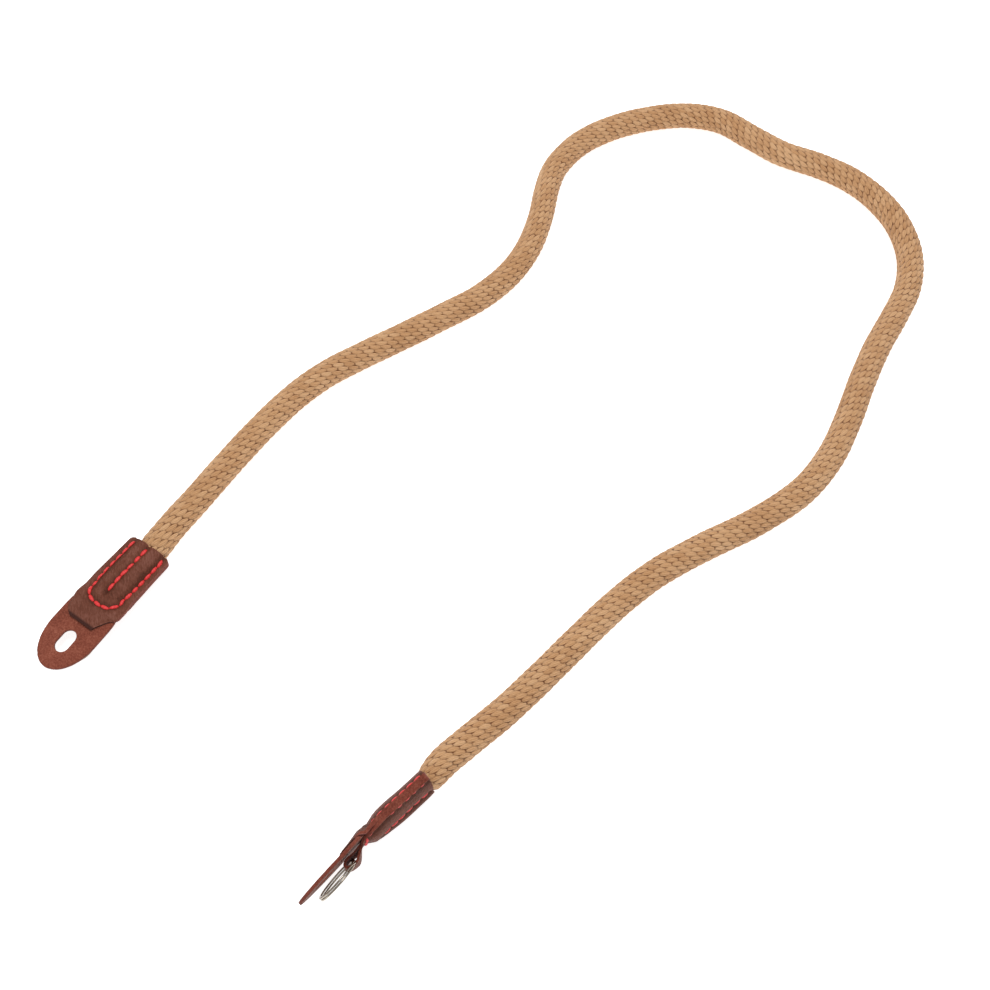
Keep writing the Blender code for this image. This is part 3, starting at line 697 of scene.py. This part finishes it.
def make_rope(material):
    """The braid: a skin of plump slanting lozenges, each line of them running round the rope."""
    centre = rope_line()
    lengths = line_lengths(centre)
    total = lengths[-1]
    tangent = unit(np.gradient(centre, lengths, axis=0))
    turn = math.tau * 0.5 * ROPE_D
    beside = np.array(BRAID_SIDE_BY_SIDE) * MM
    # Five lozenges back and fourteen lines round close one turn of the rope
    other = (np.array([0.0, turn]) + 5.0 * beside) / 14.0
    step = (beside + other) / BRAID_ALONG
    across = beside - BRAID_SHIFT * step
    rows = BRAID_LINES * BRAID_ACROSS
    count = int((total - BRAID_LINES * across[0]) / step[0])
    p, q = np.meshgrid(np.arange(count + 1), np.arange(rows), indexing="ij")
    line = q // BRAID_ACROSS
    part = q % BRAID_ACROSS

    def phase(number):
        """Place along a lozenge of that line, -0.5 and 0.5 at its ends."""
        return ((p - BRAID_SHIFT * number) / BRAID_ALONG + 0.5) % 1.0 - 0.5

    here = phase(line)
    before = phase(line - 1)
    rng = np.random.default_rng(5)
    unlike = rng.normal(0.0, 1.0, (count + 1, rows))
    # Gaps bulge towards the ends of the next line's lozenges
    low_gap = -0.5 - BRAID_SWELL * 0.5 * (np.cos(math.tau * here) - np.cos(math.tau * before))
    after = phase(line + 1)
    high_gap = 0.5 - BRAID_SWELL * 0.5 * (np.cos(math.tau * after) - np.cos(math.tau * here))
    middle = 0.5 * (low_gap + high_gap)
    half = 0.5 * (high_gap - low_gap)
    parts = [part == 0, part == 1, part == 2]
    offset = np.select(parts, [low_gap, middle - 0.58 * half, middle], middle + 0.58 * half)
    # A strand dives at the end of each lozenge, at some deeper; beside its neighbour it only dips
    number = np.floor((p - BRAID_SHIFT * line) / BRAID_ALONG).astype(int)
    shallow = rng.uniform(0.0, 0.30, (count + BRAID_LINES * BRAID_SHIFT, BRAID_LINES))[number, line]
    crown = np.interp(np.abs(here), BRAID_PLACES, BRAID_CROWN) + shallow * (np.abs(here) > 0.4)
    crown = crown + 0.06 * np.sin(math.tau * here)
    gap = np.interp(np.abs(here), BRAID_PLACES, BRAID_GAP)
    height = np.select([part == 0, part == 2], [gap + 0.45 * shallow, crown], 0.84 * crown + 0.05)
    height = height + 0.035 * unlike
    slid = 0.30 * np.sin(2.0 * math.tau * here) / math.tau
    u = p - slid * BRAID_ALONG * 0.5
    lines = line + 0.5 + offset
    along = u * step[0] + lines * across[0] + 0.02 * MM * unlike
    around = u * step[1] + lines * across[1]
    along = np.clip(along, 0.0, total).ravel()
    angle = (around / (0.5 * ROPE_D)).ravel()
    radius = (BRAID_CREST - BRAID_RELIEF * (1.0 - np.clip(height, 0.0, 1.2))).ravel()
    middle_line = np.stack([np.interp(along, lengths, centre[:, k]) for k in range(3)], axis=1)
    forward = np.stack([np.interp(along, lengths, tangent[:, k]) for k in range(3)], axis=1)
    side = unit(np.cross(forward, np.array([0.0, 0.0, 1.0])))
    up = np.cross(side, forward)
    points = middle_line + radius[:, None] * (np.cos(angle)[:, None] * up + np.sin(angle)[:, None] * side)
    points = press_rope(points, middle_line)
    points[:, 2] = np.maximum(points[:, 2], ON_FLOOR)

    i, j = np.meshgrid(np.arange(count), np.arange(rows), indexing="ij")
    last = j == rows - 1
    far = np.where(last, i + BRAID_TURN_STEPS, i)
    there = np.where(last, 0, j + 1)
    keep = (far + 1) <= count
    corner = [i * rows + j, (i + 1) * rows + j, (far + 1) * rows + there, far * rows + there]
    faces = np.stack([c[keep] for c in corner], axis=1)
    map_u = np.stack([i, i + 1, i + 1, i], axis=2)[keep] / BRAID_ALONG
    map_v = np.stack([j, j, j + 1, j + 1], axis=2)[keep] / BRAID_ACROSS

    rope = new_piece("braided_rope", points, faces, [material])
    hold_map(rope.data, "braid", np.stack([map_u.ravel(), map_v.ravel()], axis=1))
    # The relief, low in the gaps, also sets where the cotton's colour is darkened as painted shade.
    hold_values(rope.data, "relief", height)
    mend(rope.data)
    rope.data.shade_smooth()
    put_on(rope, "strap", "cotton", "rope")
    path = centre[::8]
    if not np.allclose(path[-1], centre[-1]):
        path = np.vstack([path, centre[-1:]])


# Leather
def seam_lines(front):
    """The seams of a cover as (u, v) lines: the turned one and the one down the middle."""
    low = SEAM_LOW if front else SEAM_HIGH
    legs = np.linspace(0.0, 1.0, 60)[:, None]

    def leg(start, end):
        return np.array(start) * (1.0 - legs) + np.array(end) * legs

    angle = np.linspace(-0.5 * math.pi, 0.5 * math.pi, 60)
    round_it = np.abs(np.sin(angle)) ** 0.8 * np.sign(angle)
    half, middle_v = 0.5 * (low + SEAM_HIGH), 0.5 * (SEAM_HIGH - low)
    turn = np.stack([SEAM_TURN + SEAM_DEEP * np.cos(angle) ** 0.8, middle_v + half * round_it], axis=1)
    first, last = leg((SEAM_TOP, -low), (SEAM_TURN, -low)), leg((SEAM_TURN, SEAM_HIGH), (SEAM_TOP, SEAM_HIGH))
    return np.vstack([first, turn[1:-1], last]), leg((MIDDLE_START, 0.0), (MIDDLE_END, 0.0))


def seam_place(line, lengths, at):
    """u and v of the places that are so far along a seam."""
    return np.interp(at, lengths, line[:, 0]), np.interp(at, lengths, line[:, 1])


def seam_distance(u, v, line, steps):
    """Distance to the nearest of the places that part a seam into so many steps."""
    lengths = line_lengths(line)
    far = np.full(u.shape, 1.0)
    for place in zip(*seam_place(line, lengths, np.linspace(0.0, lengths[-1], steps + 1))):
        far = np.minimum(far, np.hypot(u - place[0], v - place[1]))
    return far


def seam_dent(u, v, front):
    """How far the thread pulls the leather in, deeper at its holes."""
    dent = np.zeros(u.shape)
    for line, count, (deep, wide) in zip(seam_lines(front), STITCHES, SEAM_DENTS):
        dent += deep * MM * np.exp(-((seam_distance(u, v, line, 12 * count) / (wide * MM)) ** 2))
        dent += HOLE_DENT[0] * MM * np.exp(-((seam_distance(u, v, line, count) / (HOLE_DENT[1] * MM)) ** 2))
    return dent * ease(u - NECK, *SEAM_FADE)


def seam_shade(u, v, front):
    """One on the seams, fading out beside them: where shade is painted into the leather's colour, for the
    valley along each seam.
    """
    shade = np.zeros(u.shape)
    for line, count in zip(seam_lines(front), STITCHES):
        shade = np.maximum(shade, np.exp(-((seam_distance(u, v, line, 6 * count) / SEAM_SHADE) ** 2)))
    return shade * ease(u - NECK, *SEAM_FADE)


def leather_sheet(name, rows, columns, place, thickness, outward, materials, thinned=None):
    """A sheet of leather: a grid bent to place(row share, column share), with a wall and soft edges."""
    select_nothing()
    bpy.ops.mesh.primitive_grid_add(x_subdivisions=rows, y_subdivisions=columns, size=2.0)
    sheet = added(name)
    flat = get_points(sheet.data)
    shares = 0.5 * (flat[:, 0] + 1.0)
    points = place(shares, flat[:, 1])
    points[:, 2] -= outward * seam_dent(points[:, 0], points[:, 1], outward > 0.0)
    sheet.data.vertices.foreach_set("co", points.ravel())
    for material in materials:
        sheet.data.materials.append(material)
    wall = sheet.modifiers.new("wall", "SOLIDIFY")
    wall.thickness = thickness
    wall.offset = outward
    wall.use_even_offset = True
    if thinned is not None:
        kept = sheet.vertex_groups.new(name="kept")
        for index, share in enumerate(thinned(shares)):
            kept.add([index], float(share), "REPLACE")
        wall.vertex_group = "kept"
    wall.material_offset = 1
    wall.material_offset_rim = 2
    edges = sheet.modifiers.new("edges", "BEVEL")
    edges.width = EDGE_SOFT
    edges.segments = 3
    edges.limit_method = "ANGLE"
    edges.angle_limit = math.radians(55.0)
    apply_all(sheet)
    u, v, _ = get_points(sheet.data).T
    # The pressed value is painted shade: one in the valleys along the seams, fading out beside them.
    hold_values(sheet.data, "pressed", seam_shade(u, v, outward > 0.0))
    return sheet


def near_mouth(share, length):
    """Rows set closer at the mouth, as places along a cover, and how much its corners take away."""
    u = length * (share - 0.85 * np.sin(math.pi * share) / math.pi * (1.0 - share) ** 3)
    inside = np.clip(1.0 - u / CORNER, 0.0, 1.0)
    return u, CORNER * (1.0 - np.sqrt(1.0 - inside * inside))


def make_front_cover(side, finishes):
    """Smooth leather over the rope, with its flap over the guard."""

    def reach(u, aside):
        """Half width of the cover there, on the side where aside is."""
        low, high = (read_table(FRONT_OUTLINE, np.maximum(u / COVER_LENGTH, 0.06), k) for k in (1, 2))
        return COVER_HALF * np.where(aside < 0.0, low, high)

    def place(share, t):
        u, cut = near_mouth(share, COVER_LENGTH)
        v = t * (reach(u, t) - cut)
        return np.stack([u, v, front_face(u, v, side)], axis=1)

    sheet = leather_sheet(side + "_front_leather", *FRONT_GRID, place, FRONT_WALL, 1.0, finishes)
    points = get_points(sheet.data)
    u, v, w = points.T
    inner = front_face(u, v, side)
    # The flap is pared down towards its edge, and its edge is burnished dark
    tip, beside = COVER_LENGTH - u, reach(u, v) - np.abs(v)
    pared = 1.0 - 0.30 * ease(u - NECK, 0.0, 7.0)
    pared -= 0.36 * ease(np.minimum(tip, 1.3 * beside), 1.5, 0.0) * ease(u - NECK, 0.0, 3.0)
    pared -= FLANK_THIN[side] * ease(u, 26.5, 31.0) * ease(beside, 3.0, 0.5)
    points[:, 2] = inner + (w - inner) * np.maximum(pared, LEAST_WALL)
    sheet.data.vertices.foreach_set("co", points.ravel())
    hold_values(sheet.data, "burnt", ease(tip, 1.6, 0.7))
    for face in sheet.data.polygons:
        if face.material_index == 2 and face.center.x > NECK + 2.5 * MM:
            face.material_index = 3
    settle(sheet, tab_matrix(side))
    put_on(sheet, "strap", "leather", side + "_front_cover")


def loop_path(side):
    """The tail past the neck, as (u, w): down, round the ring's wire and back to the stitches. Also how far
    its two edges are twisted there."""
    start = np.array([NECK * BACK_OUTLINE[-1][0], 0.0])
    start[1] = float(back_face(np.array([start[0]]), np.array([0.0]), side)[0])
    inner = LOOP_INNER[side]
    bottom = np.array([LOOP_U, LOOP_W - inner])
    top = np.array([LOOP_U, LOOP_W + inner])
    end = np.array([RETURN_START, -RETURN_W - float(lean(RETURN_START))])
    pull = LOOP_U - start[0]

    def leg(a, slope_a, b, slope_b, count):
        s = (np.arange(1, count) / count)[:, None]
        near = (2 * s**3 - 3 * s**2 + 1) * a + (s**3 - 2 * s**2 + s) * slope_a
        return near + (3 * s**2 - 2 * s**3) * b + (s**3 - s**2) * slope_b

    sloping = np.array([pull, -pull * math.tan(LEAN)])
    down = leg(start, sloping, bottom, np.array([pull, 0.0]), 10)
    angle = math.pi * (np.arange(15) / 14.0 - 0.5)
    arc = np.stack([LOOP_U + LOOP_LONG * np.cos(angle), LOOP_W + inner * np.sin(angle)], axis=1)
    back = leg(top, np.array([-pull, 0.0]), end, -sloping, 10)
    share = np.arange(1, 10) / 10.0
    grow, swell = smooth_step(share), np.sin(math.pi * share)
    twist = np.vstack([
        np.stack([grow * (1.0 + 0.9 * swell)] * 2, axis=1),
        np.ones((15, 2)),
        np.stack([grow * (1.0 + 2.4 * swell), grow * (1.0 - 0.3 * swell)], axis=1)[::-1],
        np.zeros((1, 2)),
    ])
    return np.vstack([down, arc, back, end[None]]), twist


def make_back_cover(side, finishes):
    """Leather under the rope, whose tail turns back round the ring."""
    path, twist = loop_path(side)
    body_rows, columns = BACK_GRID
    rows = body_rows + len(path)
    flare = LOOP_FLARE[side]

    def place(share, t):
        row = np.rint(share * rows).astype(int)
        u, cut = near_mouth(np.minimum(row, body_rows) / body_rows, NECK * BACK_OUTLINE[-1][0])
        v = t * (COVER_HALF * read_table(BACK_OUTLINE, np.maximum(u / NECK, 0.08), 1) - cut)
        points = np.stack([u, v, back_face(u, v, side)], axis=1)
        tail = row > body_rows
        at = np.clip(row - body_rows - 1, 0, len(path) - 1)
        swing = flare * t * np.where(t < 0.0, twist[at, 0], twist[at, 1])
        looped = np.stack([path[at, 0], t * LOOP_HALF, path[at, 1] + swing], axis=1)
        return np.where(tail[:, None], looped, points)

    def kept(share):
        """Share of the wall that is left: the tail is thinner, and skived where it goes back."""
        row = share * rows - body_rows
        tail, skived = smooth_step((row + 8.0) / 8.0), smooth_step((row - 20.0) / 6.0)
        return 1.0 - (1.0 - TAIL_SHARE) * tail - (TAIL_SHARE - SKIVED_SHARE) * skived

    sheet = leather_sheet(side + "_back_leather", rows, columns, place, BACK_WALL, -1.0, finishes, kept)
    settle(sheet, tab_matrix(side))
    put_on(sheet, "strap", "leather", side + "_back_cover")


def make_guard(side, finishes):
    """The slotted guard: suede in front, smooth behind, with soft cut edges."""
    outline = [(u * MM, -half * GUARD_HALF) for u, half in GUARD_WIDENS]
    centre = GUARD_TIP - GUARD_END
    rng = np.random.default_rng(31)
    for i in range(GUARD_STEPS + 1):
        turn = math.pi * (i / GUARD_STEPS - 0.5)
        frayed = 1.0 - abs(rng.normal(0.0, GUARD_FRAY)) / GUARD_HALF
        outline.append((centre + GUARD_END * frayed * math.cos(turn), GUARD_HALF * frayed * math.sin(turn)))
    outline += [(u * MM, half * GUARD_HALF) for u, half in GUARD_WIDENS[::-1]]
    slot = []
    end_r = 0.5 * SLOT_WIDTH
    for way in (1.0, -1.0):
        middle = GUARD_TIP - SLOT_TO_TIP + way * (0.5 * SLOT_LENGTH - end_r)
        for i in range(SLOT_STEPS + 1):
            turn = math.pi * (i / SLOT_STEPS - 0.5)
            slot.append((middle + way * end_r * math.cos(turn), SLOT_ASIDE + way * end_r * math.sin(turn)))
    outline = [(u, v + GUARD_ASIDE) for u, v in outline]
    flat = bpy.data.curves.new(side + "_guard_leather", "CURVE")
    flat.dimensions = "2D"
    flat.fill_mode = "BOTH"
    flat.extrude = 0.5 * LEATHER_T - GUARD_SOFT
    flat.bevel_depth = GUARD_SOFT
    flat.bevel_resolution = 2
    flat.offset = -GUARD_SOFT
    for points in (outline, slot):
        line = flat.splines.new("POLY")
        line.points.add(len(points) - 1)
        for point, (u, v) in zip(line.points, points):
            point.co = (u - BEND, v, 0.0, 1.0)
        line.use_cyclic_u = True
    active(new_object(side + "_guard_leather", flat))
    bpy.ops.object.convert(target="MESH")
    plate = bpy.context.active_object
    mend(plate.data, 0.001 * MM)
    plate.data.materials.clear()
    for material in finishes:
        plate.data.materials.append(material)
    for face in plate.data.polygons:
        # Suede in front, smooth behind, and cut edge where the face leans
        tall = face.normal.z
        face.material_index = 1 if tall > GUARD_FLAT else 0 if tall < -GUARD_FLAT else 2
    local = Matrix.Translation((BEND, 0.0, LAYER_W + 0.5 * LEATHER_T)) @ Matrix.Rotation(LEAN, 4, "Y")
    settle(plate, tab_matrix(side) @ local)
    plate.data.set_sharp_from_angle(angle=SHARP)
    put_on(plate, "strap", "suede", side + "_guard")


# Stitches
def one_stitch():
    """A plump thread from hole to hole, as points with length along x from 0 to 1, and its faces."""
    shape = bmesh.new()
    bmesh.ops.create_cone(shape, segments=10, radius1=1.0, radius2=1.0, depth=1.0)
    long_edges = [e for e in shape.edges if abs(e.verts[0].co.z - e.verts[1].co.z) > 0.5]
    bmesh.ops.subdivide_edges(shape, edges=long_edges, cuts=11, use_grid_fill=True)
    bmesh.ops.holes_fill(shape, edges=[e for e in shape.edges if e.is_boundary], sides=0)
    bmesh.ops.recalc_face_normals(shape, faces=shape.faces)
    shape.verts.ensure_lookup_table()
    points = np.array([(v.co.z + 0.5, v.co.x, v.co.y) for v in shape.verts])
    faces = [[v.index for v in f.verts] for f in shape.faces]
    shape.free()
    return points, faces


def skin_point(u, v, side, front):
    """A cover's outer surface and its normal, in the tab's frame."""
    face, wall, sign = (front_face, FRONT_WALL, 1.0) if front else (back_face, BACK_WALL, -1.0)
    d = 0.45 * MM
    w = face(u, v, side)
    du = (face(u + d, v, side) - face(u - d, v, side)) / (2.0 * d)
    dv = (face(u, v + d, side) - face(u, v - d, side)) / (2.0 * d)
    normal = unit(np.stack([-du, -dv, np.ones_like(du)], axis=1) * sign)
    return np.stack([u, v, w], axis=1) + normal * wall, normal


def make_stitches(side, front, thread):
    """All the stitches of one cover, each a copy of one thread bent along its seam."""
    base, base_faces = one_stitch()
    x = base[:, 0]
    hump = np.sin(math.pi * np.clip(x, 0.0, 1.0))
    angle = np.arctan2(base[:, 2], base[:, 1]) / math.tau
    rng = np.random.default_rng(11 if front else 23)
    everything, faces, maps = [], [], []
    beside = FRONT_SUNK[side] if front else BACK_SUNK[side]
    seams = zip(seam_lines(front), STITCHES, (beside, MIDDLE_SUNK))
    for line, count, sunk in seams:
        lengths = line_lengths(line)
        pitch = (lengths[-1] - 2.0 * SEAM_ROOM) / count
        for n in range(count):
            shift = rng.normal(0.0, STITCH_SPREAD["shift"]) * pitch
            size = 1.0 + rng.normal(0.0, STITCH_SPREAD["size"])
            share = STITCH_SHARE + rng.normal(0.0, STITCH_SPREAD["share"])
            start = SEAM_ROOM + (n + 0.5) * pitch - 0.5 * share * pitch + shift
            at = np.clip(start + x * share * pitch, 0.06 * MM, lengths[-1] - 0.06 * MM)
            u, v = seam_place(line, lengths, at)
            u1, v1 = seam_place(line, lengths, at - SEAM_NUDGE)
            u2, v2 = seam_place(line, lengths, at + SEAM_NUDGE)
            across = unit(np.stack([-(v2 - v1), u2 - u1], axis=1))
            slant = rng.normal(0.0, STITCH_SPREAD["slant"]) * (x - 0.5) * pitch
            u, v = u + across[:, 0] * slant, v + across[:, 1] * slant
            fat = 0.5 * THREAD_W * size * (0.34 + 0.66 * hump**0.7)
            lift = (0.12 * hump**0.6 - sunk - 0.34 * np.exp(-np.minimum(x, 1.0 - x) / 0.07)) * MM
            if side == "right" and front:
                lift = lift - 0.8 * MM * ease(u - SEAM_TURN, -0.6, 0.6)
            surface, normal = skin_point(u, v, side, front)
            ahead, _ = skin_point(u + (u2 - u1), v + (v2 - v1), side, front)
            forward = unit(ahead - surface)
            high = lift + THREAD_FLAT * fat * base[:, 2]
            wide = fat * base[:, 1]
            first = sum(len(points) for points in everything)
            everything.append(surface + normal * high[:, None] + np.cross(normal, forward) * wide[:, None])
            for face in base_faces:
                faces.append([first + k for k in face])
                turns = np.array([angle[k] for k in face])
                turns = np.where(turns - turns.min() > 0.5, turns - 1.0, turns)
                maps += [(x[k] * share * pitch / THREAD_TURN, t) for k, t in zip(face, turns)]
    name = side + ("_front_stitches" if front else "_back_stitches")
    piece = new_piece(name, np.vstack(everything), faces, [thread])
    hold_map(piece.data, "thread", np.array(maps))
    settle(piece, tab_matrix(side))
    put_on(piece, "strap", "leather")


# Rings
def make_ring(side, metal):
    """The split ring: a flat wire wound two turns, its ends lying where the other turn steps over."""
    select_nothing()
    bpy.ops.mesh.primitive_plane_add(size=1.0)
    ring = added(side + "_ring_coil")
    bpy.ops.object.mode_set(mode="EDIT")
    bpy.ops.mesh.select_all(action="SELECT")
    bpy.ops.mesh.bevel(offset=RING_SHOULDER, segments=3, affect="VERTICES")
    bpy.ops.object.mode_set(mode="OBJECT")
    middle = RING_R - 0.5 * RING_WIRE
    for vertex in ring.data.vertices:
        x, y, _ = vertex.co
        vertex.co = (middle + x * RING_WIRE, 0.0, y * RING_FLAT * RING_TURN)
    profile = len(ring.data.vertices)
    coil = ring.modifiers.new("coil", "SCREW")
    coil.angle = -RING_SWEEP  # the modifier winds clockwise
    coil.steps = RING_STEPS
    apply_all(ring)
    points = get_points(ring.data)
    turn = (np.arange(len(points)) // profile) / RING_STEPS * RING_SWEEP
    over = smooth_step((turn - math.tau + RING_OVER[0]) / RING_OVER[1])
    points[:, 2] += (over - 0.5) * RING_TURN
    ring.data.vertices.foreach_set("co", points.ravel())
    mend(ring.data)
    ring.data.materials.append(metal)
    tilt, twist = math.radians(TABS[side][4]), math.radians(TABS[side][5] + RING_SLACK[side])
    hinge = Matrix.Translation((LOOP_U, 0.0, LOOP_W)) @ Matrix.Rotation(tilt, 4, "Y")
    local = hinge @ Matrix.Translation((middle, 0.0, 0.0)) @ Matrix.Rotation(twist, 4, "X")
    local = local @ Matrix.Rotation(math.radians(RING_START[side]), 4, "Z")
    settle(ring, tab_matrix(side) @ local)
    ring.data.set_sharp_from_angle(angle=SHARP)
    put_on(ring, side + "_ring", "nickel", side + "_split_ring")


# Light and floor
def make_floor():
    """A plain white surface under the strap."""
    select_nothing()
    bpy.ops.mesh.primitive_plane_add(size=12.0, location=(0.0, 0.0, 0.0))
    floor = added("floor")
    f = Finish("white_floor")
    grain = f.noise(60.0, 2.0)
    tint = grain.ramp((0.3, (0.68, 0.68, 0.68)), (0.7, (0.70, 0.70, 0.70)))
    glow = {"Emission_Color": rgb(1.0, 1.0, 1.0), "Emission_Strength": 0.82}
    floor.data.materials.append(f.finish(Base_Color=tint, Roughness=1.0, Specular_IOR_Level=0.0, **glow))


def set_light():
    """Soft studio light: a bright surround and one large lamp."""
    world = bpy.data.worlds.new("studio")
    bpy.context.scene.world = world
    world.use_nodes = True
    back = world.node_tree.nodes["Background"]
    back.inputs["Color"].default_value = (1.0, 1.0, 1.0, 1.0)
    back.inputs["Strength"].default_value = 0.58
    lamp = bpy.data.lights.new("key_lamp", "AREA")
    lamp.shape = "DISK"
    lamp.size = 0.7
    lamp.energy = 10.5
    light = new_object("key_lamp", lamp)
    light.location = (-0.16, 0.32, 1.30)
    light.rotation_mode = "QUATERNION"
    light.rotation_quaternion = (Vector((0.0, 0.15, 0.0)) - light.location).to_track_quat("-Z", "Y")
    bpy.context.scene.view_settings.view_transform = "Standard"


set_camera()
make_rope(cotton())
grain_side = smooth_leather()
flesh_side = suede("red_flesh_side", (0.10, 0.022, 0.016), (0.20, 0.045, 0.033), (0.30, 0.085, 0.062))
guard_suede = suede("guard_suede", (0.095, 0.022, 0.013), (0.215, 0.056, 0.033), (0.35, 0.120, 0.076))
cut_edge = suede("cut_edge", (0.080, 0.018, 0.011), (0.180, 0.044, 0.028), (0.30, 0.095, 0.062))
burnt_edge = suede("burnished_edge", (0.030, 0.009, 0.006), (0.060, 0.018, 0.012), (0.11, 0.040, 0.027))
thread = red_thread()
metal = nickel()
for side in TABS:
    make_front_cover(side, (grain_side, flesh_side, cut_edge, burnt_edge))
    make_back_cover(side, (flesh_side, grain_side, cut_edge))
    make_guard(side, (grain_side, guard_suede, cut_edge))
    make_stitches(side, True, thread)
    make_stitches(side, False, thread)
    make_ring(side, metal)
make_floor()
set_light()
select_nothing()
